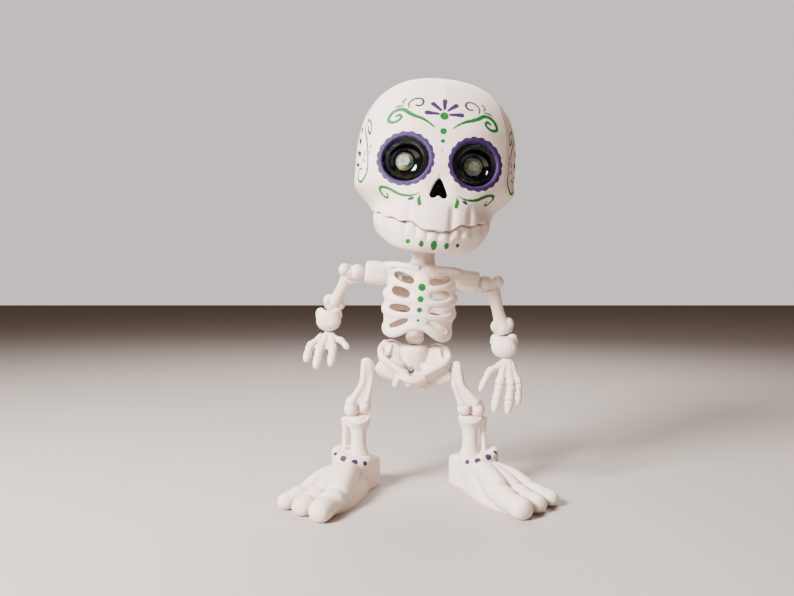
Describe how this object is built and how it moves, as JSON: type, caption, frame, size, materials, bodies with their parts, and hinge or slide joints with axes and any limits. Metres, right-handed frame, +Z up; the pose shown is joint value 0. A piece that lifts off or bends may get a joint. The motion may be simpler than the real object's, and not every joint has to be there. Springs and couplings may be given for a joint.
{
  "type": "skeleton figurine",
  "caption": "Standing skeleton figurine with an oversized sugar-skull head, cut-stone eyes and big feet, printed as loose bones clipped together.",
  "frame": {"origin": "on the ground under the middle of the figurine's box", "axes": "+Z up, the figure faces -Y, its own left side is at +X"},
  "size_m": [0.0928, 0.0622, 0.1477],
  "materials": {
    "painted_print": "off-white paint with a satin sheen over fine print lines, with painted purple, green and black ornament",
    "crystal": "foil-backed cut crystal with a rainbow coating"
  },
  "bodies": {
    "root": {"skull": "painted_print", "lower_jaw": "painted_print", "eye_stone_right": "crystal", "eye_stone_left": "crystal", "ribcage": "painted_print", "pelvis": "painted_print", "upper_arm_right": "painted_print", "upper_arm_left": "painted_print", "forearm_right": "painted_print", "forearm_left": "painted_print", "hand_right": "painted_print", "hand_left": "painted_print", "thigh_right": "painted_print", "thigh_left": "painted_print", "shin_right": "painted_print", "shin_left": "painted_print", "foot_right": "painted_print", "foot_left": "painted_print"}
  },
  "joints": []
}
